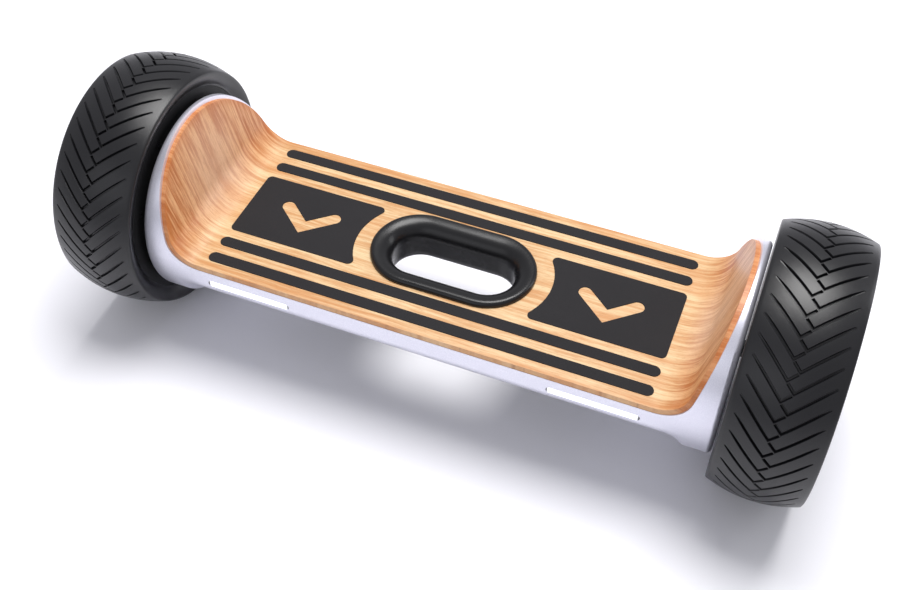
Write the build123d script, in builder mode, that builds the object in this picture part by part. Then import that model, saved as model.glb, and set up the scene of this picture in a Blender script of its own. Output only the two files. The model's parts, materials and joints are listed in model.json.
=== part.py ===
from build123d import *
import os
from math import cos, hypot, pi, radians, sin, tan

os.makedirs("parts", exist_ok=True)

# A one-piece self balancing board. X runs along the axle from wheel to wheel, the front
# faces -Y, Z is up, and the origin lies on the ground below the middle of the deck.

# Wheels
tyre_radius = 127.0
tyre_width = 84.0
wheel_x = 321.0
axle_z = tyre_radius
rim_radius = 100.0
rim_flange_radius = 104.0
rim_half_width = 36.0
cover_radius = 93.0
magnet_outer_radius = 86.0
magnet_thickness = 3.8
magnet_count = 20
tooth_count = 18
stator_low, stator_high = -20.0, 16.0
axle_radius = 8.0
running_clearance = 0.05
bearing_radius = 17.5
bearing_width = 11.0
inner_bearing_low, outer_bearing_low = -34.0, 19.0
inner_cover_low, inner_cover_high = -35.0, -30.0
outer_cover_low, outer_cover_high = 26.0, 31.0
hub_screw_circle = 89.5
hub_screw_count = 8

# Deck: a bent plywood board with a leaning round tongue at each end
deck_top = 130.0
deck_thickness = 6.0
deck_half_width = 97.0
deck_flat_half = 221.0
bend_radius = 30.0
tongue_thinning = 2.5
tongue_reach = 94.5
tongue_lean = 13.5
grip_pocket = 1.0
grip_height = 1.6
strip_half_length = 218.0
strip_width = 12.0
inner_strip_y, outer_strip_y = 58.0, 80.5
pad_outer_x, pad_half_width = 218.0, 41.5
pad_arc_radius = 64.0
chevron_x, chevron_width = 154.0, 13.0

# Handle through the middle
handle_half_length, handle_half_width = 61.0, 26.5
handle_lip = 21.0
handle_bulge = 5.5
handle_curl = 16.2
handle_split_z = 110.0

# Body shell: a slim box that swells into a round drum at each wheel
body_half_width = 97.4
drum_radius = 98.6
body_bottom = 92.0
body_corner = 15.0
wall = 3.0
apex_thickening = 0.8
slim_half_length = 214.0
drum_start = 254.0
drum_end = 278.0
drum_edge = 5.0
flare_steps = 6
cover_half_length, cover_half_width = 200.0, 72.0
cover_thickness = 1.5

# Lights, button and charging socket
hinge_out, hinge_drop = 1.9, 10.4
light_x, light_z = 170.0, 110.4
light_length, light_height = 86.0, 7.4
fitting_z = 113.0
button_x, button_radius = -35.0, 6.0
fitting_depth = 79.0
socket_x, socket_radius = 35.0, 6.5
hinge_z = fitting_z - hinge_drop

# Chassis and what hangs from it
plate_low, plate_high = 117.0, 121.0
plate_half_length, plate_half_width = 220.0, 93.6
box_x = 145.0
cell_radius, cell_length = 8.8, 65.0


def save(part, name):
    part.label = name
    export_step(part, f"parts/{name}.step")


def save_pair(part, name):
    """The part as made stands at +X; its twin is mirrored to -X."""
    save(part, "right_" + name)
    save(mirror(part, about=Plane.YZ), "left_" + name)


def wheel_axis(u=0.0):
    return Plane(origin=(wheel_x + u, 0, axle_z), x_dir=(0, 1, 0), z_dir=(1, 0, 0))


axle_line = Axis((0, 0, axle_z), (1, 0, 0))


def ring(low, high, inner, outer):
    """A plain ring about the axle, from low to high along it, measured from the wheel's centre."""
    with BuildPart() as made:
        with BuildSketch(wheel_axis(low)):
            Circle(outer)
            if inner:
                Circle(inner, mode=Mode.SUBTRACT)
        extrude(amount=high - low)
    return made.part


def above_deck(depth):
    """Everything above a surface that runs this far below the deck's top face."""
    radius = bend_radius + depth - tongue_thinning * depth / deck_thickness
    rise = radians(90 - tongue_lean)
    centre_z = deck_top - depth + radius
    bend_end = (deck_flat_half + radius * sin(rise), centre_z - radius * cos(rise))
    bend_middle = (deck_flat_half + radius * sin(rise / 2), centre_z - radius * cos(rise / 2))
    top_z = axle_z + drum_radius + 10
    top_x = bend_end[0] + (top_z - bend_end[1]) * tan(radians(tongue_lean))
    with BuildPart() as made:
        with BuildSketch(Plane.XZ):
            with BuildLine():
                Line((0, deck_top - depth), (deck_flat_half, deck_top - depth))
                ThreePointArc((deck_flat_half, deck_top - depth), bend_middle, bend_end)
                Polyline(bend_end, (top_x, top_z), (0, top_z), (0, deck_top - depth))
            make_face()
            mirror(about=Plane.YZ)
        extrude(amount=drum_radius + 10, both=True)
    return made.part


def hull_section(x, drum_share, inset):
    """The body's section at x, round above the axle: 0 is the slim box below it, 1 the drum."""
    half, low = body_half_width - inset, body_bottom + inset
    corner = body_corner - inset
    middle = corner * (1 - cos(radians(45)))
    radius = half + drum_share * (drum_radius - body_half_width)

    def placed(y, z):
        reach = hypot(y, z - axle_z)
        wanted = (1 - drum_share) * reach + drum_share * radius
        return (y * wanted / reach, axle_z + (z - axle_z) * wanted / reach)

    outline = [(half, axle_z), (half, (axle_z + low + corner) / 2), (half, low + corner),
               (half - middle, low + middle), (half - corner, low), (half / 2, low)]
    outline += [(0, low)] + [(-y, z) for y, z in reversed(outline)]
    points = [placed(y, z) for y, z in outline]
    with BuildSketch(Plane.YZ.offset(x)) as made:
        with BuildLine():
            for first in range(0, len(points) - 2, 2):
                if drum_share == 0 and first not in (2, 8):
                    Line(points[first], points[first + 2])
                else:
                    ThreePointArc(*points[first:first + 3])
            ThreePointArc(points[-1], (0, axle_z + radius - apex_thickening * inset), points[0])
        make_face()
    return made.sketch


def hull(inset):
    """The body's outer form, or its inside when inset by the wall."""
    with BuildPart() as made:
        extrude(hull_section(-slim_half_length, 0, inset), amount=2 * slim_half_length, dir=(1, 0, 0))
        for side in (1, -1):
            sections = []
            for step in range(flare_steps + 1):
                share = step / flare_steps
                x = slim_half_length + share * (drum_start - slim_half_length)
                sections.append(hull_section(side * x, share * share * (3 - 2 * share), inset))
            loft(sections)
            drum = hull_section(side * drum_start, 1, inset)
            extrude(drum, amount=drum_end - drum_start - inset, dir=(side, 0, 0))
    return made.part


def side_plane(side, z=0.0, x=0.0):
    """A plane on the body's front (-1) or rear (1) face, looking outwards."""
    return Plane(origin=(x, side * body_half_width, z), x_dir=(1, 0, 0), z_dir=(0, side, 0))


screw_places = [(x, y) for x in (-190, -64, 64, 190) for y in (-71, 71)]
deck_screw_places = [(x, y) for x in (-208, -100, 100, 208) for y in (-81, 81)]
clamp_bolt_places = [(263, -19), (263, 19)]
bracket_bolt_places = [(213, -18), (213, 18)]


# Body shell, open above where the deck closes it
with BuildPart() as body_shell:
    add(hull(0))
    end_edges = body_shell.edges().filter_by(lambda e: abs(abs(e.center().X) - drum_end) < 0.1)
    fillet(end_edges, drum_edge)
    add(hull(wall), mode=Mode.SUBTRACT)
    add(above_deck(deck_thickness), mode=Mode.SUBTRACT)
    with BuildSketch(Plane.XY.offset(body_bottom)):
        RectangleRounded(2 * cover_half_length + 6, 2 * cover_half_width + 6, 15)
    extrude(amount=cover_thickness, mode=Mode.SUBTRACT)
    with BuildSketch(Plane.XY.offset(body_bottom)):
        RectangleRounded(2 * cover_half_length - 10, 2 * cover_half_width - 10, 12)
    extrude(amount=wall + 1, mode=Mode.SUBTRACT)
    with BuildSketch(Plane.XY.offset(body_bottom)):
        with Locations(*screw_places):
            Circle(1.6)
    extrude(amount=wall, mode=Mode.SUBTRACT)
    for side in (-1, 1):
        with BuildSketch(side_plane(side, light_z)):
            with Locations((-light_x, 0), (light_x, 0)):
                SlotOverall(light_length, light_height)
        extrude(amount=-2 * wall, mode=Mode.SUBTRACT)
    with BuildSketch(Plane.YZ.offset(-drum_end - 1)):
        with Locations((0, axle_z)):
            Circle(11)
    extrude(amount=2 * drum_end + 2, mode=Mode.SUBTRACT)
    with BuildSketch(Plane(origin=(0, body_half_width, fitting_z), x_dir=(-1, 0, 0), z_dir=(0, 1, 0))):
        with Locations((-button_x, 0)):
            Circle(8)
        with Locations((-socket_x, 0)):
            Circle(socket_radius)
    extrude(amount=-2 * wall, mode=Mode.SUBTRACT)
    for x in (socket_x - 6.6, socket_x + 4.3):
        with BuildSketch(Plane.YZ.offset(x)):
            with Locations((body_half_width + hinge_out, hinge_z)):
                Circle(1.6)
            with Locations((body_half_width, hinge_z)):
                Rectangle(2 * hinge_out, 3.2)
            with Locations((body_half_width + hinge_out, hinge_z)):
                Circle(0.75, mode=Mode.SUBTRACT)
        extrude(amount=2.3)
save(body_shell.part, "body_shell")

# Service cover under the body, with cooling slots and its screws
with BuildPart() as bottom_cover:
    with BuildSketch(Plane.XY.offset(body_bottom)):
        RectangleRounded(2 * cover_half_length + 5, 2 * cover_half_width + 5, 14.5)
    extrude(amount=cover_thickness)
    with BuildSketch(Plane.XY.offset(body_bottom + cover_thickness)):
        RectangleRounded(2 * cover_half_length - 11, 2 * cover_half_width - 11, 11.5)
        RectangleRounded(2 * cover_half_length - 17, 2 * cover_half_width - 17, 8.5, mode=Mode.SUBTRACT)
    extrude(amount=wall + 0.3 - cover_thickness)
    with BuildSketch(Plane.XY.offset(body_bottom)):
        SlotOverall(2 * (handle_half_length + 16), 2 * (handle_half_width + 16))
    extrude(amount=2 * wall, mode=Mode.SUBTRACT)
    with BuildSketch(Plane.XY.offset(body_bottom)):
        with Locations((box_x, 0)):
            with GridLocations(11, 0, 7, 1):
                SlotOverall(60, 4, rotation=90)
    extrude(amount=2 * wall, mode=Mode.SUBTRACT)
    with BuildSketch(Plane.XY.offset(body_bottom)):
        with Locations(*screw_places):
            Circle(1.7)
    extrude(amount=2 * wall, mode=Mode.SUBTRACT)
save(bottom_cover.part, "bottom_cover")

with BuildPart() as bottom_cover_screws:
    with BuildSketch(Plane.XY.offset(body_bottom - 1.4)):
        with Locations(*screw_places):
            Circle(3)
            RegularPolygon(1.3, 6, mode=Mode.SUBTRACT)
    extrude(amount=1.4)
    with BuildSketch(Plane.XY.offset(body_bottom)):
        with Locations(*screw_places):
            Circle(1.5)
    extrude(amount=3.4)
save(bottom_cover_screws.part, "bottom_cover_screws")


# Bent plywood deck
def pad_outline(grow=0.0):
    """One rubber pad: a rounded block whose inner end follows the handle's round end."""
    arc_x = handle_half_length - handle_half_width
    with BuildSketch() as made:
        with BuildSketch(mode=Mode.PRIVATE) as block:
            with Locations((arc_x, 0)):
                Rectangle(pad_outer_x - arc_x, 2 * pad_half_width, align=(Align.MIN, Align.CENTER))
                Circle(pad_arc_radius, mode=Mode.SUBTRACT)
            corners = block.vertices().filter_by(lambda v: v.X > arc_x + 20)
            fillet(corners, 5)
        with BuildSketch(mode=Mode.PRIVATE) as chevron:
            with BuildLine():
                Polyline((chevron_x - 25, 8.5), (chevron_x, -13), (chevron_x + 25, 8.5))
            trace(line_width=chevron_width)
            with Locations((chevron_x - 25, 8.5), (chevron_x + 25, 8.5), (chevron_x, -13)):
                Circle(chevron_width / 2)
        add(block.sketch)
        if grow:
            offset(amount=grow)
            offset(chevron.sketch, amount=-grow, mode=Mode.SUBTRACT)
        else:
            add(chevron.sketch, mode=Mode.SUBTRACT)
    return made.sketch


strip_places = [(0, y) for y in (-outer_strip_y, -inner_strip_y, inner_strip_y, outer_strip_y)]
pad_gap = 0.15
right_pad = pad_outline()
right_pocket = pad_outline(pad_gap)

with BuildPart() as wood_deck:
    add(above_deck(deck_thickness))
    add(above_deck(0), mode=Mode.SUBTRACT)
    with BuildSketch(Plane.YZ.offset(-drum_end)):
        with Locations((0, axle_z)):
            Ellipse(deck_half_width, tongue_reach)
            Rectangle(2 * deck_half_width, 40, align=(Align.CENTER, Align.MAX))
    extrude(amount=2 * drum_end, mode=Mode.INTERSECT)
    with BuildSketch(Plane.XY.offset(deck_top - grip_pocket)):
        with Locations(*strip_places):
            SlotOverall(2 * (strip_half_length + pad_gap), strip_width + 2 * pad_gap)
        add(right_pocket)
        mirror(right_pocket, about=Plane.YZ)
    extrude(amount=2 * grip_pocket, mode=Mode.SUBTRACT)
    with BuildSketch(Plane.XY.offset(deck_top - deck_thickness)):
        SlotOverall(2 * (handle_half_length + handle_lip - 2.5), 2 * (handle_half_width + handle_lip - 2.5))
    extrude(amount=2 * deck_thickness, mode=Mode.SUBTRACT)
    with BuildSketch(Plane.XY.offset(deck_top - deck_thickness)):
        with Locations(*deck_screw_places):
            Circle(1.6)
    extrude(amount=4, mode=Mode.SUBTRACT)
save(wood_deck.part, "wood_deck")

# Rubber grip strips and pads let into the deck
for end, side in (("front", -1), ("rear", 1)):
    with BuildPart() as grip_strips:
        with BuildSketch(Plane.XY.offset(deck_top - grip_pocket)):
            with Locations((0, side * inner_strip_y), (0, side * outer_strip_y)):
                SlotOverall(2 * strip_half_length, strip_width)
        extrude(amount=grip_height)
    save(grip_strips.part, end + "_grip_strips")

with BuildPart() as grip_pad:
    with BuildSketch(Plane.XY.offset(deck_top - grip_pocket)):
        add(right_pad)
    extrude(amount=grip_height)
save_pair(grip_pad.part, "grip_pad")


# Handle liner: an upper and a lower half that meet inside the body
def handle_liner(outer_z, body_reach, flange_reach, flange, curl, pocket):
    """One half of the liner, from the split out to its curled lip at outer_z."""
    out = 1 if outer_z > handle_split_z else -1
    height = abs(outer_z - handle_split_z)
    base = Plane(origin=(0, 0, handle_split_z), x_dir=(1, 0, 0), z_dir=(0, 0, out))
    with BuildPart() as made:
        with BuildSketch(base):
            SlotOverall(2 * (handle_half_length + body_reach), 2 * (handle_half_width + body_reach))
        extrude(amount=height)
        with BuildSketch(base.offset(height - flange)):
            SlotOverall(2 * (handle_half_length + flange_reach), 2 * (handle_half_width + flange_reach))
        extrude(amount=flange)
        with BuildSketch(base):
            SlotOverall(2 * handle_half_length, 2 * handle_half_width)
        extrude(amount=height, mode=Mode.SUBTRACT)
        lip = made.faces().sort_by(Axis.Z)[-1 if out > 0 else 0]
        fillet(lip.inner_wires()[0].edges(), curl)
        lip = made.faces().filter_by(GeomType.PLANE).sort_by(Axis.Z)[-1 if out > 0 else 0]
        fillet(lip.outer_wire().edges(), flange * 0.75)
        with BuildSketch(base):
            SlotOverall(2 * (handle_half_length + body_reach - 3), 2 * (handle_half_width + body_reach - 3))
            SlotOverall(2 * (handle_half_length + 3), 2 * (handle_half_width + 3), mode=Mode.SUBTRACT)
        extrude(amount=pocket, mode=Mode.SUBTRACT)
    return made.part


save(handle_liner(deck_top + handle_bulge, handle_lip - 3, handle_lip, handle_bulge, handle_curl, 8),
     "handle_upper_liner")
save(handle_liner(body_bottom - 1.4, 15.5, 18.5, 1.4, 12, 7), "handle_lower_liner")

# Chassis plate with turned-down sides
with BuildPart() as chassis_plate:
    with BuildSketch(Plane.XY.offset(plate_low)):
        RectangleRounded(2 * plate_half_length, 2 * plate_half_width, 6)
        SlotOverall(2 * (handle_half_length + handle_lip - 1), 2 * (handle_half_width + handle_lip - 1),
                    mode=Mode.SUBTRACT)
    extrude(amount=plate_high - plate_low)
    with BuildSketch(Plane.XY.offset(plate_low - 12)):
        with Locations((0, -plate_half_width + 1.5), (0, plate_half_width - 1.5)):
            Rectangle(2 * plate_half_length - 60, 3)
    extrude(amount=12)
    with BuildSketch(Plane.XZ.offset(-fitting_depth)):
        with Locations((button_x, fitting_z), (socket_x, fitting_z)):
            Rectangle(24, 20)
    extrude(amount=fitting_depth - plate_half_width, mode=Mode.SUBTRACT)
    with BuildSketch(Plane.XZ):
        with Locations((-light_x, plate_low - 0.5), (light_x, plate_low - 0.5)):
            Rectangle(light_length + 6, 12, align=(Align.CENTER, Align.MAX))
    extrude(amount=plate_half_width, both=True, mode=Mode.SUBTRACT)
    with BuildSketch(Plane.XY.offset(plate_low)):
        with Locations(*deck_screw_places):
            Circle(2)
        with Locations(*[(side * x, y) for side in (-1, 1) for x, y in bracket_bolt_places]):
            Circle(2.5)
        with Locations((-box_x, 0), (box_x, 0)):
            with GridLocations(34, 50, 3, 3):
                SlotOverall(24, 14)
    extrude(amount=plate_high - plate_low, mode=Mode.SUBTRACT)
save(chassis_plate.part, "chassis_plate")

with BuildPart() as deck_screws:
    with BuildSketch(Plane.XY.offset(plate_low - 3)):
        with Locations(*deck_screw_places):
            Circle(3.6)
            RegularPolygon(1.6, 6, mode=Mode.SUBTRACT)
    extrude(amount=3)
    with BuildSketch(Plane.XY.offset(plate_low)):
        with Locations(*deck_screw_places):
            Circle(1.6)
    extrude(amount=11)
save(deck_screws.part, "deck_screws")

# Load cells that feel the rider's weight through the deck
with BuildPart() as load_cells:
    with BuildSketch(Plane.XY.offset(plate_high)):
        with GridLocations(2 * box_x, 118, 2, 2):
            RectangleRounded(30, 26, 4)
            with Locations((2, 0)):
                RectangleRounded(20, 18, 2, mode=Mode.SUBTRACT)
            Rectangle(24, 7)
    extrude(amount=1.8)
    with BuildSketch(Plane.XY.offset(plate_high + 1.8)):
        with GridLocations(2 * box_x, 118, 2, 2):
            Circle(3)
    extrude(amount=1.2)
save(load_cells.part, "load_cells")

# Wheel bracket: bolts under the chassis plate and carries the axle in a split clamp
web_low, web_high = 256.0, 270.0
with BuildPart() as wheel_bracket:
    with BuildSketch(Plane.XZ):
        with BuildLine():
            Polyline((206, plate_low), (246, plate_low), (web_low, axle_z - 4), (web_low, axle_z),
                     (web_high, axle_z), (web_high, 66), (web_low, 66), (240, 96), (206, 106),
                     (206, plate_low))
        make_face()
    extrude(amount=30, both=True)
    with BuildSketch(Plane.XZ):
        with BuildLine():
            Polyline((205, 109), (238, 100), (web_low - 2, 78), (web_low - 2, 112), (205, 112), (205, 109))
        make_face()
    extrude(amount=24, both=True, mode=Mode.SUBTRACT)
    with BuildSketch(Plane.XZ):
        with BuildLine():
            Polyline((207, 107), (240, 97), (web_low, 70), (web_low, 113), (207, 113), (207, 107))
        make_face()
    extrude(amount=3, both=True)
    with BuildSketch(Plane.YZ.offset(web_low)):
        with Locations((0, 100)):
            RectangleRounded(110, 50, 20)
        with Locations((0, axle_z)):
            Rectangle(140, 40, align=(Align.CENTER, Align.MIN), mode=Mode.SUBTRACT)
    extrude(amount=web_high - web_low)
    with BuildSketch(Plane.YZ.offset(web_low - 10)):
        with Locations((0, axle_z)):
            Circle(axle_radius + 0.02)
    extrude(amount=30, mode=Mode.SUBTRACT)
    with BuildSketch(Plane.XY.offset(axle_z)):
        with Locations(*clamp_bolt_places):
            Circle(2.5)
    extrude(amount=-22, mode=Mode.SUBTRACT)
    with BuildSketch(Plane.XY.offset(plate_low)):
        with Locations(*bracket_bolt_places):
            Circle(2.5)
    extrude(amount=-6, mode=Mode.SUBTRACT)
save_pair(wheel_bracket.part, "wheel_bracket")

with BuildPart() as axle_clamp:
    with BuildSketch(Plane.YZ.offset(web_low + 1)):
        with Locations((0, axle_z)):
            Rectangle(54, 12, align=(Align.CENTER, Align.MIN))
            Circle(17)
            Rectangle(60, 20, align=(Align.CENTER, Align.MAX), mode=Mode.SUBTRACT)
            Circle(axle_radius + 0.02, mode=Mode.SUBTRACT)
    extrude(amount=web_high - web_low - 1)
    with BuildSketch(Plane.XY.offset(axle_z)):
        with Locations(*clamp_bolt_places):
            Circle(2.7)
    extrude(amount=20, mode=Mode.SUBTRACT)
save_pair(axle_clamp.part, "axle_clamp")

with BuildPart() as bracket_bolts:
    for places, low, length, head in ((clamp_bolt_places, axle_z - 20, 32, 5),
                                      (bracket_bolt_places, plate_low - 5, 9, -4)):
        pairs = [(side * x, y) for side in (-1, 1) for x, y in places]
        with BuildSketch(Plane.XY.offset(low)):
            with Locations(*pairs):
                Circle(2.4)
        extrude(amount=length)
        with BuildSketch(Plane.XY.offset(low + length if head > 0 else low)):
            with Locations(*pairs):
                Circle(4.2)
                RegularPolygon(2, 6, mode=Mode.SUBTRACT)
        extrude(amount=head)
save(bracket_bolts.part, "wheel_bracket_bolts")

# Axle, hollow at its inner end, where the motor's wires come out
axle_low, axle_high = -70.0, 29.5
hollow_length, wire_bore = 30.0, 3.2
with BuildPart() as axle:
    with BuildSketch(wheel_axis(axle_low)):
        Circle(axle_radius)
        Circle(wire_bore, mode=Mode.SUBTRACT)
    extrude(amount=hollow_length)
    with BuildSketch(wheel_axis(axle_low + hollow_length)):
        Circle(axle_radius)
    extrude(amount=axle_high - axle_low - hollow_length)
    with BuildSketch(wheel_axis(stator_low - 2.6)):
        Circle(12)
    extrude(amount=2.6)
save_pair(axle.part, "axle")

# Stator: a spoked hub, a laminated ring with teeth and a coil round each tooth
tooth_width, tooth_low, tooth_tip = 8.0, 60.0, 77.0
stator_length = stator_high - stator_low
with BuildPart() as stator_core:
    with BuildSketch(wheel_axis(stator_low)):
        Circle(60)
        Circle(50, mode=Mode.SUBTRACT)
        Circle(14)
        with PolarLocations(32, 6):
            Rectangle(40, 9)
        with PolarLocations((tooth_low + tooth_tip) / 2 - 1, tooth_count):
            Rectangle(tooth_tip - tooth_low + 4, tooth_width)
        with PolarLocations(0, tooth_count):
            with BuildLine(mode=Mode.PRIVATE) as tip:
                Polyline((tooth_tip, -5), (tooth_tip + 2, -11), (tooth_tip + 3.2, -11), (tooth_tip + 4.4, 0),
                         (tooth_tip + 3.2, 11), (tooth_tip + 2, 11), (tooth_tip, 5), (tooth_tip, -5))
            make_face(tip.edges())
        Circle(axle_radius, mode=Mode.SUBTRACT)
    extrude(amount=stator_length)
save_pair(stator_core.part, "stator_core")

with BuildPart() as stator_windings:
    with BuildSketch(wheel_axis(stator_low - 4)):
        with PolarLocations((tooth_low + tooth_tip) / 2 + 0.8, tooth_count):
            RectangleRounded(tooth_tip - tooth_low - 2.2, tooth_width + 11, 2.5)
    extrude(amount=stator_length + 8)
    with BuildSketch(wheel_axis(stator_low)):
        with PolarLocations((tooth_low + tooth_tip) / 2, tooth_count):
            Rectangle(tooth_tip - tooth_low + 4, tooth_width + 0.4)
    extrude(amount=stator_length, mode=Mode.SUBTRACT)
save_pair(stator_windings.part, "stator_windings")

# Rotor: magnets, rim, two end covers, bearings and screws
with BuildPart() as rotor_magnets:
    with BuildSketch(wheel_axis(stator_low)):
        Circle(magnet_outer_radius)
        Circle(magnet_outer_radius - magnet_thickness, mode=Mode.SUBTRACT)
        with PolarLocations(magnet_outer_radius, magnet_count, start_angle=9):
            Rectangle(12, 1.6, mode=Mode.SUBTRACT)
    extrude(amount=stator_length)
save_pair(rotor_magnets.part, "rotor_magnets")


def profile(points):
    """A ring about the axle whose section has these corners, as (along axle, radius)."""
    with BuildPart() as made:
        with BuildSketch(Plane.XZ):
            with BuildLine():
                Polyline(*[(wheel_x + u, axle_z + r) for u, r in points], close=True)
            make_face()
        revolve(axis=axle_line)
    return made.part


flange_low = rim_half_width - 3
with BuildPart() as rim:
    add(profile([(-rim_half_width, cover_radius), (-rim_half_width, rim_flange_radius),
                 (-flange_low, rim_flange_radius), (-flange_low + 1, rim_radius),
                 (flange_low - 1, rim_radius), (flange_low, rim_flange_radius),
                 (rim_half_width, rim_flange_radius), (rim_half_width, cover_radius),
                 (outer_cover_low, cover_radius), (outer_cover_low, magnet_outer_radius),
                 (inner_cover_high, magnet_outer_radius), (inner_cover_high, cover_radius)]))
    for u, depth in ((outer_cover_low, -10), (inner_cover_high, 10)):
        with BuildSketch(wheel_axis(u)):
            with PolarLocations(hub_screw_circle, hub_screw_count, start_angle=22.5):
                Circle(1.7)
        extrude(amount=depth, mode=Mode.SUBTRACT)
save_pair(rim.part, "rim")

with BuildPart() as inner_hub_cover:
    add(ring(inner_cover_low, inner_cover_high, bearing_radius, cover_radius - 0.1))
    add(ring(inner_cover_low, inner_bearing_low + bearing_width, bearing_radius, bearing_radius + 5))
    add(ring(inner_cover_low, inner_bearing_low, axle_radius + 1.5, bearing_radius + 5))
    with BuildSketch(wheel_axis(inner_cover_low)):
        with PolarLocations(hub_screw_circle, hub_screw_count, start_angle=22.5):
            Circle(1.9)
    extrude(amount=6, mode=Mode.SUBTRACT)
    with BuildSketch(wheel_axis(inner_cover_low)):
        Circle(78)
        Circle(30, mode=Mode.SUBTRACT)
        with PolarLocations(54, 12):
            Rectangle(52, 5, mode=Mode.SUBTRACT)
    extrude(amount=1.6, mode=Mode.SUBTRACT)
save_pair(inner_hub_cover.part, "inner_hub_cover")

with BuildPart() as outer_hub_cover:
    add(ring(outer_cover_low, outer_cover_high, 0, cover_radius - 0.1))
    add(ring(outer_bearing_low, outer_cover_high, 0, bearing_radius + 5))
    with BuildSketch(wheel_axis(outer_bearing_low)):
        Circle(bearing_radius)
    extrude(amount=bearing_width, mode=Mode.SUBTRACT)
    with BuildSketch(wheel_axis(outer_cover_high)):
        Circle(26)
        with PolarLocations(52, 6):
            Rectangle(62, 14)
        Circle(82)
        Circle(74, mode=Mode.SUBTRACT)
        with PolarLocations(52, 6):
            Rectangle(50, 14)
        Circle(26)
    extrude(amount=3.5)
    with BuildSketch(wheel_axis(outer_cover_low)):
        with PolarLocations(hub_screw_circle, hub_screw_count, start_angle=22.5):
            Circle(1.9)
    extrude(amount=10, mode=Mode.SUBTRACT)
    with BuildSketch(wheel_axis(outer_cover_high + 1.5)):
        Circle(21)
    extrude(amount=10, mode=Mode.SUBTRACT)
save_pair(outer_hub_cover.part, "outer_hub_cover")

with BuildPart() as hub_cap:
    add(ring(outer_cover_high + 1.5, outer_cover_high + 5.5, 0, 20.8))
    rim_edges = hub_cap.edges().group_by(Axis.X)[-1]
    fillet(rim_edges, 2.5)
save_pair(hub_cap.part, "hub_cap")

with BuildPart() as hub_bearings:
    for low in (inner_bearing_low, outer_bearing_low):
        with BuildSketch(Plane.XZ):
            with BuildLine():
                Polyline(*[(wheel_x + low + u, axle_z + r) for u, r in (
                    (0, axle_radius + running_clearance), (bearing_width, axle_radius + running_clearance),
                    (bearing_width, 10.6), (bearing_width - 0.8, 10.6), (bearing_width - 0.8, 15),
                    (bearing_width, 15), (bearing_width, bearing_radius), (0, bearing_radius),
                    (0, 15), (0.8, 15), (0.8, 10.6), (0, 10.6))], close=True)
            make_face()
        revolve(axis=axle_line)
save_pair(hub_bearings.part, "hub_bearings")

with BuildPart() as hub_screws:
    for u, out in ((outer_cover_high, 1), (inner_cover_low, -1)):
        face = Plane(origin=(wheel_x + u, 0, axle_z), x_dir=(0, 1, 0), z_dir=(out, 0, 0))
        with BuildSketch(face):
            with PolarLocations(hub_screw_circle, hub_screw_count, start_angle=22.5):
                Circle(3)
                RegularPolygon(1.3, 6, mode=Mode.SUBTRACT)
        extrude(amount=0.9)
        with BuildSketch(face):
            with PolarLocations(hub_screw_circle, hub_screw_count, start_angle=22.5):
                Circle(1.6)
        extrude(amount=-14)
save_pair(hub_screws.part, "hub_screws")

# Tyre: a crowned band with low side walls over the rim
half_tyre = tyre_width / 2
crown_edge, crown_drop = half_tyre - 1, 7.5
shoulder_radius = tyre_radius - crown_drop
with BuildPart() as tyre:
    with BuildSketch(Plane.XZ):
        with BuildLine():
            ThreePointArc((wheel_x - crown_edge, axle_z + shoulder_radius),
                          (wheel_x, axle_z + tyre_radius),
                          (wheel_x + crown_edge, axle_z + shoulder_radius))
            side_points = [(crown_edge, shoulder_radius), (half_tyre, shoulder_radius - 2.5),
                           (half_tyre - 0.8, 113), (half_tyre - 3.2, 109), (rim_half_width + 0.5, 105.5),
                           (rim_half_width + 0.4, rim_flange_radius + 0.3),
                           (flange_low, rim_flange_radius + 0.3), (flange_low, rim_flange_radius),
                           (flange_low - 1, rim_radius)]
            right_side = [(wheel_x + u, axle_z + r) for u, r in side_points]
            left_side = [(wheel_x - u, axle_z + r) for u, r in side_points]
            Polyline(*right_side, *reversed(left_side))
        make_face()
    revolve(axis=axle_line)
save_pair(tyre.part, "tyre")

# Light bars: white in front, red behind
for colour, side in (("headlight", -1), ("tail_light", 1)):
    with BuildPart() as lenses:
        with BuildSketch(side_plane(side, light_z)):
            with Locations((-light_x, 0), (light_x, 0)):
                SlotOverall(light_length - 0.4, light_height - 0.4)
        extrude(amount=-wall - 0.6)
        with BuildSketch(side_plane(side, light_z).offset(-wall - 0.4)):
            with Locations((-light_x, 0), (light_x, 0)):
                Rectangle(light_length - 14, light_height + 2)
        extrude(amount=-1.1)
    save(lenses.part, colour + "_lenses")

with BuildPart() as light_boards:
    for side in (-1, 1):
        with BuildSketch(side_plane(side, light_z).offset(-wall - 2.5)):
            with Locations((-light_x, 0), (light_x, 0)):
                Rectangle(light_length, light_height)
        extrude(amount=-1.2)
        with BuildSketch(side_plane(side, light_z).offset(-wall - 2.5)):
            with Locations((-light_x, 0), (light_x, 0)):
                with GridLocations(10, 0, 8, 1):
                    Rectangle(3.5, 2.8)
        extrude(amount=0.8)
save(light_boards.part, "light_boards")


def rear_face(depth=0.0, x=0.0):
    """A plane on the rear face, looking backwards, this far inside it."""
    return Plane(origin=(x, body_half_width - depth, fitting_z), x_dir=(-1, 0, 0), z_dir=(0, 1, 0))


# Power button in its ring, with the switch behind it
with BuildPart() as power_button:
    with BuildSketch(rear_face(2.5, button_x)):
        Circle(button_radius)
    extrude(amount=4)
    fillet(power_button.edges().group_by(Axis.Y)[-1], 0.8)
save(power_button.part, "power_button")

with BuildPart() as button_ring:
    with BuildSketch(rear_face(4.5, button_x)):
        Circle(7.9)
        Circle(button_radius + 0.25, mode=Mode.SUBTRACT)
    extrude(amount=5.4)
    with BuildSketch(rear_face(0, button_x)):
        Circle(9.6)
        Circle(button_radius + 0.25, mode=Mode.SUBTRACT)
    extrude(amount=0.9)
save(button_ring.part, "power_button_ring")

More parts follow.
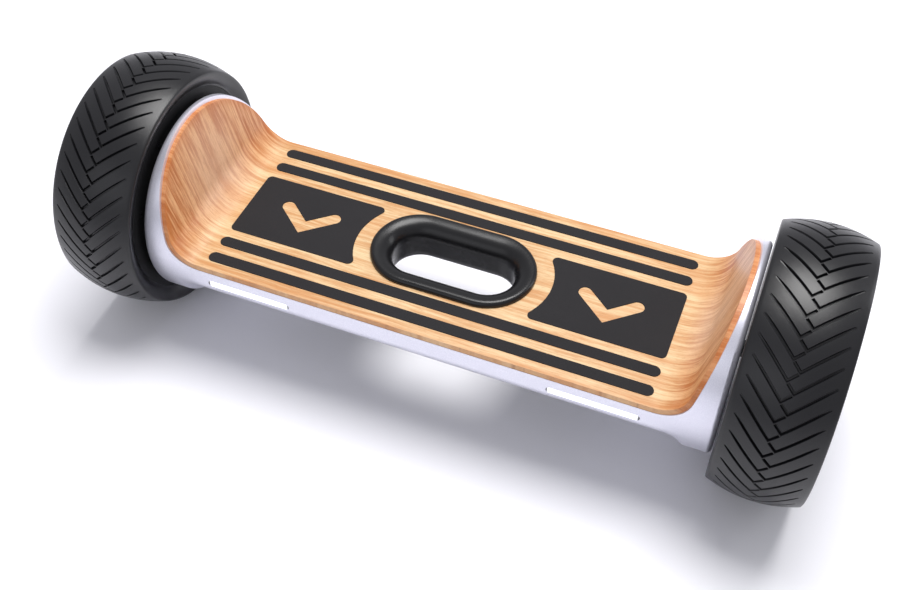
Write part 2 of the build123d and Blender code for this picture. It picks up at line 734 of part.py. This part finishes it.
with BuildPart() as power_switch:
    with BuildSketch(rear_face(16, button_x)):
        Rectangle(12, 12)
    extrude(amount=10.5)
    with BuildSketch(rear_face(5.5, button_x)):
        Circle(2)
    extrude(amount=1.7)
save(power_switch.part, "power_switch")

# Charging socket under a rubber flap
socket_bore = 5.0
with BuildPart() as charge_socket:
    with BuildSketch(rear_face(16, socket_x)):
        Circle(socket_radius - 0.1)
    extrude(amount=16)
    with BuildSketch(rear_face(14, socket_x)):
        Circle(socket_bore)
    extrude(amount=14, mode=Mode.SUBTRACT)
    with BuildSketch(rear_face(14, socket_x)):
        with Locations((0, 1.8), (-1.6, -1), (1.6, -1)):
            Circle(0.7)
    extrude(amount=6)
    with BuildSketch(rear_face(6.5, socket_x)):
        Circle(socket_radius + 2.5)
        Circle(socket_radius - 0.2, mode=Mode.SUBTRACT)
    extrude(amount=2.6)
save(charge_socket.part, "charge_socket")

flap_gap, flap_thickness, flap_half_height = 0.3, 2.0, 8.0
with BuildPart() as charge_flap:
    with BuildSketch(rear_face(-flap_gap, socket_x)):
        RectangleRounded(23, 2 * flap_half_height, 4.5)
        with Locations((0, -hinge_drop)):
            Rectangle(8, 4, align=(Align.CENTER, Align.MIN))
    extrude(amount=flap_thickness)
    with BuildSketch(Plane.YZ.offset(socket_x - 4)):
        with Locations((body_half_width + hinge_out, hinge_z)):
            Circle(1.5)
    extrude(amount=8)
    with BuildSketch(Plane.YZ.offset(socket_x - 6)):
        with Locations((body_half_width + hinge_out, hinge_z)):
            Circle(0.7)
    extrude(amount=12)
save(charge_flap.part, "charge_flap")

# Battery pack on the left: a tray, its lid, ten cells and the protection board
case_half_x, case_half_y = 56.0, 74.5
case_low, case_high = body_bottom + wall + 0.6, 116.4
with BuildPart() as battery_case:
    with BuildSketch(Plane.XY.offset(case_low)):
        with Locations((-box_x, 0)):
            RectangleRounded(2 * case_half_x, 2 * case_half_y, 4)
    extrude(amount=case_high - case_low - 1.6)
    with BuildSketch(Plane.XY.offset(case_low + 1.2)):
        with Locations((-box_x, 0)):
            RectangleRounded(2 * case_half_x - 3, 2 * case_half_y - 3, 3)
    extrude(amount=case_high - case_low, mode=Mode.SUBTRACT)
save(battery_case.part, "battery_case")

with BuildPart() as battery_lid:
    with BuildSketch(Plane.XY.offset(case_high - 1.5)):
        with Locations((-box_x, 0)):
            RectangleRounded(2 * case_half_x, 2 * case_half_y, 4)
    extrude(amount=1.5)
save(battery_lid.part, "battery_lid")

with BuildPart() as battery_cells:
    with BuildSketch(Plane.XZ):
        with Locations((-box_x, case_low + 1.4 + cell_radius)):
            with GridLocations(2 * cell_radius + 0.2, 0, 5, 1):
                Circle(cell_radius)
    extrude(amount=cell_length + 0.5, both=True)
    with BuildSketch(Plane.XZ):
        with Locations((-box_x, axle_z)):
            Rectangle(2 * case_half_x, 80)
    extrude(amount=0.5, both=True, mode=Mode.SUBTRACT)
save(battery_cells.part, "battery_cells")

with BuildPart() as battery_board:
    with BuildSketch(Plane.XZ.offset(-72.4)):
        with Locations((-box_x, (case_low + case_high) / 2)):
            Rectangle(90, 16)
    extrude(amount=1.2)
save(battery_board.part, "battery_board")

# Motor controller on the right, gyro boards beside the handle
board_z = 104.0
with BuildPart() as controller_board:
    with BuildSketch(Plane.XY.offset(board_z)):
        with Locations((box_x, 0)):
            Rectangle(104, 120)
            with GridLocations(94, 110, 2, 2):
                Circle(1.8, mode=Mode.SUBTRACT)
    extrude(amount=1.6)
    with BuildSketch(Plane.XY.offset(board_z + 1.6)):
        with Locations((box_x - 30, 0)):
            Rectangle(10, 10)
        with Locations((box_x - 30, -25), (box_x - 30, 25)):
            Rectangle(14, 8)
        with Locations((box_x + 30, 45), (box_x + 30, 30), (box_x + 10, 45)):
            Circle(5)
    extrude(amount=7)
save(controller_board.part, "controller_board")

with BuildPart() as power_transistors:
    with BuildSketch(Plane.XY.offset(board_z - 4.4)):
        with Locations((box_x, 0)):
            with GridLocations(15, 60, 6, 2):
                Rectangle(10, 15)
    extrude(amount=4.4)
save(power_transistors.part, "power_transistors")

with BuildPart() as heat_sink:
    with BuildSketch(Plane.XY.offset(board_z - 6.4)):
        with Locations((box_x, 0)):
            Rectangle(96, 84)
    extrude(amount=2)
    with BuildSketch(Plane.XY.offset(board_z - 8.2)):
        with Locations((box_x, 0)):
            with GridLocations(7, 0, 13, 1):
                Rectangle(1.6, 84)
    extrude(amount=1.8)
save(heat_sink.part, "controller_heat_sink")

with BuildPart() as gyro_boards:
    with BuildSketch(Plane.XY.offset(112)):
        with Locations((-64, 64), (64, 64)):
            Rectangle(34, 22)
    extrude(amount=1.6)
    with BuildSketch(Plane.XY.offset(109)):
        with Locations((-64, 64), (64, 64)):
            Rectangle(8, 8)
    extrude(amount=3)
save(gyro_boards.part, "gyro_boards")


# Leads inside the body: straight runs joined by large arcs
def lead(points, radius, bends, name):
    with BuildPart() as made:
        with BuildLine() as route:
            FilletPolyline(*points, radius=bends)
        with BuildSketch(Plane(origin=route.line @ 0, z_dir=route.line % 0)):
            Circle(radius)
        sweep(path=route.line)
    path = Wire(route.edges())
    ideal = pi * radius ** 2 * path.length
    print(name, "bends", bends, "volume over section times length", round(made.part.volume / ideal, 4))
    save(made.part, name)


motor_lead_radius, battery_lead_radius = 2.6, 2.2
side_channel = 82.0
lead_out = [(250.8, 0, 127), (243, 4, 126.5), (238, 22, 123.5), (232, 40, 116), (222, 46, 106)]
right_route = lead_out + [(210, 46, 103), (200, 46, 106.5)]
left_route = [(-x, y, z) for x, y, z in lead_out] + [
    (-214, 62, 101.5), (-196, side_channel, 102), (-60, side_channel, 102), (60, side_channel, 102.5),
    (78, 70, 104.5), (91, 54, 107)]
lead(right_route, motor_lead_radius, [5, 12, 14, 12, 14], "right_motor_lead")
lead(left_route, motor_lead_radius, [5, 12, 14, 12, 18, 22, 90, 20, 18], "left_motor_lead")
battery_route = [(-88.8, -58, 106), (-70, -60, 106), (70, -60, 106.5), (91, -52, 107)]
lead(battery_route, battery_lead_radius, [60, 40], "battery_lead")
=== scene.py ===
import json
import math

import bmesh
import bpy
from mathutils import Matrix, Vector


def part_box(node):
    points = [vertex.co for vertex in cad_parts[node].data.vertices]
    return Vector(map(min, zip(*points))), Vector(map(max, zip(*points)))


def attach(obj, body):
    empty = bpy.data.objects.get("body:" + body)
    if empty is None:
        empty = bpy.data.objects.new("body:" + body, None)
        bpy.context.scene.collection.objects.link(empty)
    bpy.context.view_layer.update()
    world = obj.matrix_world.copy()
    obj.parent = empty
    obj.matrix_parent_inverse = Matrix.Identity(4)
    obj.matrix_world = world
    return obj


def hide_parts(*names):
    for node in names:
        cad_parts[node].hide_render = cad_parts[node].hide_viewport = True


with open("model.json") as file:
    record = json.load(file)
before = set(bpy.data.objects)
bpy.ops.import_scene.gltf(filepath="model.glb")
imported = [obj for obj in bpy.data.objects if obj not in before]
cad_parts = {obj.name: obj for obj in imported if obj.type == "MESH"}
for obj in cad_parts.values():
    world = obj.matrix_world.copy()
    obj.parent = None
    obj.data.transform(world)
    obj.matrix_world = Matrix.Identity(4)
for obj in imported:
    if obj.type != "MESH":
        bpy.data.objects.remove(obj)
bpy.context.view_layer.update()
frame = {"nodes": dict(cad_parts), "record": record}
nodes = frame["nodes"]
print("frame loaded:", len(nodes), "parts")

sides = {"left": -1, "right": 1}  # along the axle


# shader sums written as sums

class Flow:
    # one output of a node, which can be added, multiplied and so on
    def __init__(self, finish, socket):
        self.finish = finish
        self.socket = socket

    def sum(self, operation, first, second):
        return self.finish.node("Math", {"operation": operation}, {0: first, 1: second})

    def __add__(self, other):
        return self.sum("ADD", self, other)

    def __radd__(self, other):
        return self.sum("ADD", other, self)

    def __sub__(self, other):
        return self.sum("SUBTRACT", self, other)

    def __rsub__(self, other):
        return self.sum("SUBTRACT", other, self)

    def __mul__(self, other):
        return self.sum("MULTIPLY", self, other)

    def __rmul__(self, other):
        return self.sum("MULTIPLY", other, self)

    def __truediv__(self, other):
        return self.sum("DIVIDE", self, other)


class Finish:
    # a material with one Principled shader and the nodes that feed it
    def __init__(self, name, **constants):
        self.material = bpy.data.materials.new(name)
        self.material.use_nodes = True
        self.tree = self.material.node_tree
        self.tree.nodes.clear()
        self.shader = self.tree.nodes.new("ShaderNodeBsdfPrincipled")
        output = self.tree.nodes.new("ShaderNodeOutputMaterial")
        self.tree.links.new(self.shader.outputs[0], output.inputs["Surface"])
        for socketName, value in constants.items():
            self.shader.inputs[socketName.replace("_", " ")].default_value = value
        self.place = self.node("TexCoord", {}, {}, "Object")

    def node(self, kind, settings, sockets, result=0):
        made = self.tree.nodes.new("ShaderNode" + kind)
        for key, value in settings.items():
            if key == "stops":
                ramp = made.color_ramp
                while len(ramp.elements) < len(value):
                    ramp.elements.new(0.5)
                for element, (position, colour) in zip(ramp.elements, value):
                    element.position = position
                    element.color = colour
            else:
                setattr(made, key, value)
        for key, value in sockets.items():
            if isinstance(value, Flow):
                self.tree.links.new(value.socket, made.inputs[key])
            else:
                made.inputs[key].default_value = value
        return Flow(self, made.outputs[result])

    def feed(self, socketName, flow):
        self.tree.links.new(flow.socket, self.shader.inputs[socketName])

    def axis(self, name):
        return self.node("SeparateXYZ", {}, {0: self.place}, name)

    def noise(self, vector, scale, detail=4.0, roughness=0.55):
        return self.node("TexNoise", {}, {"Vector": vector, "Scale": scale, "Detail": detail,
                                          "Roughness": roughness}, "Fac")

    def streaks(self, vector, stretch, detail=4.0, roughness=0.55):
        # noise drawn out along the first axis by a small first number
        across = (stretch[0], stretch[1], 1.0)
        longer = self.node("VectorMath", {"operation": "MULTIPLY"}, {0: vector, 1: across})
        return self.noise(longer, 1.0, detail, roughness)

    def size(self, value):
        # the value without its sign
        return self.node("Math", {"operation": "ABSOLUTE"}, {0: value})

    def spread(self, value, low, high):
        # 0 at low, 1 at high, with a soft start and end
        return self.node("MapRange", {"clamp": True, "interpolation_type": "SMOOTHSTEP"},
                         {"Value": value, "From Min": low, "From Max": high})

    def tint(self, factor, first, second):
        colours = {}
        for key, value in ((6, first), (7, second)):
            colours[key] = value if isinstance(value, Flow) else (*value, 1.0)
        return self.node("Mix", {"data_type": "RGBA"}, {0: factor, **colours}, 2)

    def bump(self, height, strength, distance):
        self.feed("Normal", self.node("Bump", {}, {"Height": height, "Strength": strength,
                                                   "Distance": distance}))


def srgb(red, green, blue):
    # screen values from 0 to 255 as linear light
    return tuple(((v / 255 + 0.055) / 1.055) ** 2.4 if v > 10 else v / 255 / 12.92
                 for v in (red, green, blue))


# camera, floor and light

cameraSetup = {"place": (0.2735, -0.6939, 0.9073), "lens": 45.27, "sensor": 36.0, "clip": (0.01, 50.0),
               "right": (0.92774, 0.37323, 0.00314), "up": (-0.27893, 0.68770, 0.67028),
               "back": (0.24800, -0.62272, 0.74210)}


def addCamera():
    data = bpy.data.cameras.new("camera")
    data.lens = cameraSetup["lens"]
    data.sensor_width = cameraSetup["sensor"]
    data.clip_start, data.clip_end = cameraSetup["clip"]
    camera = bpy.data.objects.new("camera", data)
    bpy.context.collection.objects.link(camera)
    turn = Matrix([cameraSetup[key] for key in ("right", "up", "back")]).transposed()
    camera.matrix_world = Matrix.Translation(cameraSetup["place"]) @ turn.to_4x4()
    bpy.context.scene.camera = camera


floorSetup = {"reach": 12.0, "squares": 8, "rough": 0.65, "cloud": 3.0,
              "tones": (srgb(246, 246, 252), srgb(250, 250, 254))}


def addFloor():
    bm = bmesh.new()
    squares = floorSetup["squares"]
    bmesh.ops.create_grid(bm, x_segments=squares, y_segments=squares, size=floorSetup["reach"])
    data = bpy.data.meshes.new("floor")
    bm.to_mesh(data)
    bm.free()
    floor = bpy.data.objects.new("floor", data)
    bpy.context.collection.objects.link(floor)
    paper = Finish("floorPaper", Roughness=floorSetup["rough"])
    cloud = paper.noise(paper.place, floorSetup["cloud"], 2.0)
    paper.feed("Base Color", paper.tint(cloud, *floorSetup["tones"]))
    data.materials.append(paper.material)


lamps = {
    "key": {"place": (0.12, 0.60, 2.55), "aim": (0.0, 0.0, 0.1), "size": (1.45, 1.45), "power": 70.0,
            "colour": (1.0, 0.99, 0.98)},
    "rightRear": {"place": (2.3, 1.6, 1.1), "aim": (0.3, 0.0, 0.1), "size": (0.5, 1.8), "power": 9.0,
                  "colour": (0.97, 0.98, 1.0)},
    "frontFill": {"place": (-0.7, -2.4, 1.5), "aim": (0.0, 0.0, 0.1), "size": (2.4, 1.4), "power": 7.0,
                  "colour": (0.94, 0.95, 1.0)},
}
worldLight = {"colour": (0.95, 0.95, 1.0, 1.0), "strength": 0.50}


def addLights():
    for name, lamp in lamps.items():
        data = bpy.data.lights.new(name, "AREA")
        data.shape = "RECTANGLE"
        data.size, data.size_y = lamp["size"]
        data.energy = lamp["power"]
        data.color = lamp["colour"]
        light = bpy.data.objects.new(name, data)
        bpy.context.collection.objects.link(light)
        light.location = lamp["place"]
        back = Vector(lamp["place"]) - Vector(lamp["aim"])
        light.rotation_euler = back.to_track_quat("Z", "Y").to_euler()
    world = bpy.data.worlds.new("studio")
    world.use_nodes = True
    background = world.node_tree.nodes["Background"]
    background.inputs["Color"].default_value = worldLight["colour"]
    background.inputs["Strength"].default_value = worldLight["strength"]
    bpy.context.scene.world = world
    bpy.context.scene.view_settings.view_transform = "Standard"


addCamera()
addFloor()
addLights()
print("camera, floor and lights placed")


# finishes

shellSetup = {
    "flake": 2600.0, "cloud": 14.0, "cloudShare": 0.25, "rough": 0.30, "roughMore": 0.10,
    "tones": (srgb(212, 212, 226), srgb(238, 238, 248)), "cloudTone": srgb(222, 221, 236),
}


def shellPaint():
    setup = shellSetup
    paint = Finish("silverShell", Metallic=0.68, Coat_Weight=0.3, Coat_Roughness=0.2)
    flake = paint.noise(paint.place, setup["flake"], 2.0)
    cloud = paint.noise(paint.place, setup["cloud"], 3.0)
    tone = paint.tint(paint.spread(flake, 0.35, 0.7), *setup["tones"])
    paint.feed("Base Color", paint.tint(cloud * setup["cloudShare"], tone, setup["cloudTone"]))
    paint.feed("Roughness", setup["rough"] + cloud * setup["roughMore"])
    paint.bump(flake, 0.06, 0.0002)
    return paint.material


deckSetup = {
    "top": 0.130, "bend": (0.222, 0.250),  # height of the level part, and where it turns up
    "tongueFoot": 0.127, "tongueRise": 0.0945, "halfDepth": 0.097,
    "wander": (5.0, 9.0), "wanderReach": 0.012,
    "bands": (3.0, 70.0), "streaks": (16.0, 330.0), "fibre": (95.0, 1700.0),
    "blotch": (10.0, 26.0), "pores": (130.0, 1300.0),
    "levelTones": (srgb(222, 194, 150), srgb(196, 144, 92)),
    "uprightTones": (srgb(226, 174, 126), srgb(176, 100, 50)),
    # the pale middle tone is a painted highlight low on each tongue
    "centre": (0.55, srgb(226, 194, 168)), "rim": (0.45, srgb(196, 112, 48)),
    "blotchTone": (0.36, srgb(200, 134, 76)), "fibreTone": (0.34, srgb(164, 100, 48)),
    "poreTone": (0.28, srgb(104, 56, 28)),
}


def deckWood():
    # short fine streaks along the board that follow the bend up each tongue
    setup = deckSetup
    wood = Finish("lacqueredMaple", Coat_Weight=0.22, Coat_Roughness=0.24, Specular_IOR_Level=0.4)
    x, y, z = wood.axis("X"), wood.axis("Y"), wood.axis("Z")
    away, aside = wood.size(x), wood.size(y)
    rise = wood.node("Math", {"operation": "MAXIMUM"}, {0: z - setup["top"], 1: 0.0})
    along = x + rise * wood.node("Math", {"operation": "SIGN"}, {0: x})
    bendX, bendY = setup["wander"]
    wander = wood.noise(wood.node("CombineXYZ", {}, {0: along * bendX, 1: y * bendY, 2: 0.0}), 1.0, 2.0)
    sheet = wood.node("CombineXYZ", {}, {0: along, 1: y + wander * setup["wanderReach"], 2: 0.0})
    bands = wood.streaks(sheet, setup["bands"], 4.0, 0.6)
    streaks = wood.streaks(sheet, setup["streaks"], 4.0, 0.68)
    fibre = wood.streaks(sheet, setup["fibre"], 3.0, 0.7)
    blotch = wood.streaks(sheet, setup["blotch"], 3.0, 0.6)
    pores = wood.spread(wood.streaks(sheet, setup["pores"], 2.0), 0.60, 0.72)
    grain = bands * 0.45 + streaks * 0.55

    # paler on the level, redder on the tongues
    level = wood.tint(wood.spread(grain, 0.40, 0.60), *setup["levelTones"])
    upright = wood.tint(wood.spread(grain, 0.41, 0.59), *setup["uprightTones"])
    climb = wood.spread(away, *setup["bend"])
    tone = wood.tint(climb, level, upright)

    # a painted highlight: a pale middle low on each tongue, where the bend faces the light; and a warm band
    # along every edge
    share, colour = setup["centre"]
    # painted highlight on the bend: pale in the middle of each tongue, fading out across and with height
    centre = climb * wood.spread(aside, 0.070, 0.005) * wood.spread(z, 0.240, 0.150)
    tone = wood.tint(centre * share, tone, colour)
    height = (z - setup["tongueFoot"]) / setup["tongueRise"]
    reach = wood.node("Math", {"operation": "SQRT"},
                      {0: aside * aside / setup["halfDepth"] ** 2 + height * height})
    longEdge = wood.spread(aside, 0.086, 0.0985) * 0.6
    topEdge = wood.spread(reach, 0.90, 1.0) * climb
    edge = wood.node("Math", {"operation": "MAXIMUM"}, {0: longEdge, 1: topEdge})
    for mask, key in ((edge, "rim"), (wood.spread(blotch, 0.46, 0.70), "blotchTone"),
                      (wood.spread(fibre, 0.46, 0.70), "fibreTone"), (pores, "poreTone")):
        share, colour = setup[key]
        tone = wood.tint(mask * share, tone, colour)
    wood.feed("Base Color", tone)
    wood.feed("Roughness", 0.38 + fibre * 0.18)
    wood.bump(fibre * 0.6 + streaks * 0.4, 0.20, 0.0003)
    return wood.material


rubberSetup = {"broad": 24.0, "darker": 0.78, "lighter": 1.35, "bump": 0.35}


def blackRubber(name, tone, grain, depth, rough, gloss=0.42):
    # fine grain whose depth is in metres, with slow changes of sheen
    setup = rubberSetup
    rubber = Finish(name, Specular_IOR_Level=gloss)
    fine = rubber.noise(rubber.place, grain, 3.0, 0.6)
    broad = rubber.noise(rubber.place, setup["broad"], 3.0)
    low = tuple(v * setup["darker"] for v in tone)
    high = tuple(v * setup["lighter"] for v in tone)
    rubber.feed("Base Color", rubber.tint(rubber.spread(fine, 0.3, 0.7), low, high))
    rubber.feed("Roughness", rough + broad * 0.14 - fine * 0.06)
    rubber.bump(fine, setup["bump"], depth)
    return rubber.material


satinSetup = {"grain": 900.0, "broad": 30.0, "lighter": 1.12, "roughMore": 0.12,
              "bump": 0.12, "depth": 0.0002}


def satin(name, tone, metal, rough):
    # metal, or hard plastic where metal is 0
    setup = satinSetup
    hard = Finish(name, Metallic=metal)
    fine = hard.noise(hard.place, setup["grain"], 3.0)
    broad = hard.noise(hard.place, setup["broad"], 2.0)
    high = tuple(min(1.0, v * setup["lighter"]) for v in tone)
    hard.feed("Base Color", hard.tint(broad, tone, high))
    hard.feed("Roughness", rough + fine * setup["roughMore"])
    hard.bump(fine, setup["bump"], setup["depth"])
    return hard.material


# the dark tone at the ends of each strip is painted shade from the recess around it
barSetup = {"half": 0.043, "endShadeInset": (0.0026, 0.0010), "dots": 160.0,
            "endShadeTone": (0.05, 0.05, 0.06), "white": (1.0, 1.0, 1.0), "off": (0.0, 0.0, 0.0)}
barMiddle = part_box("headlight_lenses")[1].x - barSetup["half"]

# a frosted strip with painted shade at both ends, standing in for the shadow of the recess it sits in; the
# glow goes off there too

def lightBar(name, tone, glow, strength):
    # a frosted strip that goes dark at both ends
    setup = barSetup
    lens = Finish(name, Coat_Weight=0.6, Coat_Roughness=0.08, Roughness=0.3)
    dots = lens.noise(lens.place, setup["dots"], 1.0)
    fromMiddle = lens.size(lens.size(lens.axis("X")) - barMiddle)
    start, stop = (setup["half"] - inset for inset in setup["endShadeInset"])
    # painted shade: this mask darkens both ends of the strip and turns off its glow where the recess would
    # shade it
    ends = lens.spread(fromMiddle, start, stop)
    lit = lens.tint(dots * 0.3, tone, setup["white"])
    lens.feed("Base Color", lens.tint(ends, lit, setup["endShadeTone"]))
    shine = lens.tint(dots * 0.2, glow, setup["white"])
    lens.feed("Emission Color", lens.tint(ends, shine, setup["off"]))
    lens.shader.inputs["Emission Strength"].default_value = strength
    return lens.material


finishes = {
    "body": shellPaint(),
    "deck_wood": deckWood(),
    "grip_rubber": blackRubber("gripRubber", srgb(38, 37, 39), 1500.0, 0.0003, 0.80, 0.22),
    "handle_plastic": blackRubber("handlePlastic", srgb(20, 20, 22), 2200.0, 0.00008, 0.24, 0.40),
    "black_plastic": blackRubber("blackPlastic", srgb(34, 34, 37), 1300.0, 0.0004, 0.48),
    "tyre": blackRubber("tyreRubber", srgb(20, 20, 23), 1700.0, 0.0002, 0.29, 0.46),
    "flap_rubber": blackRubber("flapRubber", srgb(46, 46, 48), 1700.0, 0.0002, 0.55),
    "lead_rubber": blackRubber("leadRubber", srgb(36, 36, 36), 900.0, 0.0002, 0.5),
    "frame_aluminium": satin("castAluminium", srgb(176, 178, 184), 0.9, 0.36),
    "rim_aluminium": satin("blackRim", srgb(16, 16, 18), 0.2, 0.55),
    "hub_cover": satin("hubCover", srgb(188, 189, 200), 0.55, 0.30),
    "hub_cap": satin("hubCap", srgb(30, 30, 33), 0.2, 0.22),
    "steel": satin("platedSteel", srgb(160, 162, 166), 0.95, 0.28),
    "copper": satin("enamelledCopper", srgb(184, 104, 58), 0.85, 0.30),
    "magnet": satin("nickelMagnet", srgb(190, 190, 192), 0.95, 0.22),
    "circuit_board": satin("circuitBoard", srgb(24, 92, 58), 0.0, 0.35),
    "cell_wrap": satin("cellWrap", srgb(58, 110, 150), 0.0, 0.28),
    "button": satin("buttonPlastic", srgb(52, 52, 56), 0.0, 0.35),
    "headlight": lightBar("headlightBar", srgb(232, 234, 244), (0.96, 0.98, 1.0), 0.75),
    "tail_light": lightBar("tailLightBar", srgb(170, 22, 20), (0.8, 0.04, 0.03), 0.35),
}

for entry in frame["record"]["subparts"]:
    part = nodes[entry["node"]]
    part.data.materials.clear()
    blackened = entry["node"].endswith("hub_screws")  # black screws on the black inner cover
    part.data.materials.append(finishes["hub_cap" if blackened else entry["material_slot"]])
print("finishes on every part:", len(finishes))


def finishPiece(name, data, slotName, body, stands, sharpAngle):
    piece = bpy.data.objects.new(name, data)
    bpy.context.collection.objects.link(piece)
    data.shade_smooth()
    data.set_sharp_from_angle(angle=math.radians(sharpAngle))
    data.materials.clear()
    data.materials.append(finishes[slotName])
    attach(piece, body)
    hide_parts(*stands)


# tyres: a crowned band with cut herringbone grooves

tyreLow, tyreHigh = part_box("right_tyre")
tyreHalf = (tyreHigh.x - tyreLow.x) / 2
tyreSetup = {
    "radius": (tyreHigh.z - tyreLow.z) / 2, "axleZ": (tyreHigh.z + tyreLow.z) / 2,
    "centreX": (tyreHigh.x + tyreLow.x) / 2,
    "crownReach": 0.041, "crownDrop": 0.0075, "crownSteps": 30, "aroundSteps": 360,
    "pitches": 45, "cornerIn": 0.0040, "shoulderOut": 0.0345, "leg": 0.0098, "phase": 0.0297,
    "grooveWidth": 0.0019, "grooveDepth": 0.0030, "chamfer": 0.0008, "cutterTop": 0.0016,
    "grooveSteps": 9, "fade": (0.12, 3.2), "floorShare": 0.75, "openShare": 1.6, "narrow": 0.55,
    "sharpAngle": 32.0,
    # the sidewall from the crown's edge round to the bead, as distance across and radius
    "sidewall": [(0.0414, 0.1191), (0.0418, 0.1184), (tyreHalf, 0.1172), (0.0418, 0.1158),
                 (0.0412, 0.1130), (0.0404, 0.1114), (0.0396, 0.1098), (0.0386, 0.1084),
                 (0.0372, 0.1066), (0.0366, 0.1056), (0.0364, 0.1043), (0.0330, 0.1043),
                 (0.0330, 0.1040), (0.0321, 0.1003)],
}


def crownRadius(across):
    setup = tyreSetup
    return setup["radius"] - setup["crownDrop"] * (across / setup["crownReach"]) ** 2


def tyreBody():
    setup = tyreSetup
    reach, steps, sidewall = setup["crownReach"], setup["crownSteps"], setup["sidewall"]
    crown = [(-reach + 2 * reach * step / steps) for step in range(steps + 1)]
    outline = [(-across, radius) for across, radius in reversed(sidewall)]
    outline += [(across, crownRadius(across)) for across in crown] + sidewall
    bm = bmesh.new()
    ringVerts = [bm.verts.new((across, 0.0, radius)) for across, radius in outline]
    for first, second in zip(ringVerts, ringVerts[1:] + ringVerts[:1]):
        bm.edges.new((first, second))
    bmesh.ops.spin(bm, geom=bm.verts[:] + bm.edges[:], cent=(0, 0, 0), axis=(1, 0, 0),
                   angle=math.tau, steps=setup["aroundSteps"], use_merge=True)
    bmesh.ops.remove_doubles(bm, verts=bm.verts, dist=1e-6)
    bmesh.ops.recalc_face_normals(bm, faces=bm.faces)
    return bm


def grooveStations(side):
    # one groove in flat form: distance across, distance along, and its share of full depth
    setup = tyreSetup
    run = setup["shoulderOut"] - setup["cornerIn"]
    stations = []
    fadeStart, fadeRate = setup["fade"]
    for step in range(setup["grooveSteps"] + 1):
        share = step / setup["grooveSteps"]
        out = setup["shoulderOut"] - run * share
        fade = min(1.0, fadeStart + share * fadeRate)
        stations.append((side * out, run * (1 - share), fade))
    legRun = setup["leg"] / math.sqrt(2)
    stations.append((side * (setup["cornerIn"] - legRun / 2), legRun / 2, 1.0))
    stations.append((side * (setup["cornerIn"] - legRun), legRun, 1.0))
    return stations


def grooveCutter(side):
    # a chamfered section extruded along its stations, then wrapped onto the crown
    setup = tyreSetup
    half, chamfer, narrow = setup["grooveWidth"] / 2, setup["chamfer"], setup["narrow"]
    bottom, top = half * setup["floorShare"], half + chamfer * setup["openShare"]
    section = [(-bottom, "floor"), (-half, "edge"), (-top, "open"),
               (top, "open"), (half, "edge"), (bottom, "floor")]
    stations = [Vector(station) for station in grooveStations(side)]
    bm = bmesh.new()
    verts = [bm.verts.new() for _ in section]
    edges = [bm.edges.new(pair) for pair in zip(verts, verts[1:] + verts[:1])]
    bmesh.ops.contextual_create(bm, geom=edges)
    for index, (across, along, fade) in enumerate(stations):
        if index:
            made = bmesh.ops.extrude_edge_only(bm, edges=edges)["geom"]
            edges = [item for item in made if isinstance(item, bmesh.types.BMEdge) and
                     item.verts[0] not in verts and item.verts[1] not in verts]
            grown = []
            for vert in verts:
                ends = [edge.other_vert(vert) for edge in vert.link_edges]
                grown.append(next(end for end in ends if end in made))
            verts = grown
        before = stations[max(index - 1, 0)].xy
        after = stations[min(index + 1, len(stations) - 1)].xy
        here = Vector((across, along))
        first = (here - before if index else after - here).normalized()
        second = (after - here if after != here else here - before).normalized()
        heading = (first + second).normalized()
        mitre = 1.0 / max(0.5, heading.dot(second))
        beside = Vector((-heading.y, heading.x)) * mitre * (narrow + (1.0 - narrow) * fade)
        levels = {"floor": -setup["grooveDepth"] * fade, "edge": -chamfer, "open": setup["cutterTop"]}
        for vert, (offset, level) in zip(verts, section):
            place = here + beside * offset
            radius = crownRadius(place.x) + levels[level]
            angle = place.y / setup["radius"]
            vert.co = (place.x, -radius * math.cos(angle), radius * math.sin(angle))
    bmesh.ops.contextual_create(bm, geom=edges)
    bmesh.ops.recalc_face_normals(bm, faces=bm.faces)
    return bm


def cutTyre():
    setup = tyreSetup
    meshes = {}
    body = tyreBody()
    meshes["body"] = bpy.data.meshes.new("tyreBody")
    body.to_mesh(meshes["body"])
    body.free()
    cutters = bmesh.new()
    pitch = math.tau / setup["pitches"]
    for side, stagger in ((-1, 0.0), (1, 0.5)):
        one = grooveCutter(side)
        turn = Matrix.Rotation(-stagger * pitch - setup["phase"], 3, "X")
        bmesh.ops.rotate(one, verts=one.verts, cent=(0, 0, 0), matrix=turn)
        bmesh.ops.spin(one, geom=one.verts[:] + one.edges[:] + one.faces[:], cent=(0, 0, 0),
                       axis=(1, 0, 0), angle=pitch * (setup["pitches"] - 1),
                       steps=setup["pitches"] - 1, use_duplicate=True)
        half = bpy.data.meshes.new("half")
        bmesh.ops.recalc_face_normals(one, faces=one.faces)
        one.to_mesh(half)
        one.free()
        cutters.from_mesh(half)
        bpy.data.meshes.remove(half)
    meshes["cutters"] = bpy.data.meshes.new("grooveCutters")
    cutters.to_mesh(meshes["cutters"])
    cutters.free()
    parts = {key: bpy.data.objects.new(key, mesh) for key, mesh in meshes.items()}
    for part in parts.values():
        bpy.context.collection.objects.link(part)
    cut = parts["body"].modifiers.new("grooves", "BOOLEAN")
    cut.operation = "DIFFERENCE"
    cut.solver = "EXACT"
    cut.object = parts["cutters"]
    graph = bpy.context.evaluated_depsgraph_get()
    result = bpy.data.meshes.new_from_object(parts["body"].evaluated_get(graph))
    for key, part in parts.items():
        bpy.data.objects.remove(part)
        bpy.data.meshes.remove(meshes[key])
    return result


treadMesh = cutTyre()
for sideName, side in sides.items():
    data = treadMesh.copy()
    data.name = sideName + "TyreTread"
    data.transform(Matrix.Translation((side * tyreSetup["centreX"], 0.0, tyreSetup["axleZ"])))
    finishPiece(data.name, data, "tyre", sideName + "_wheel", [sideName + "_tyre"], tyreSetup["sharpAngle"])
bpy.data.meshes.remove(treadMesh)
print("tyres cut:", len(data.polygons), "faces each")
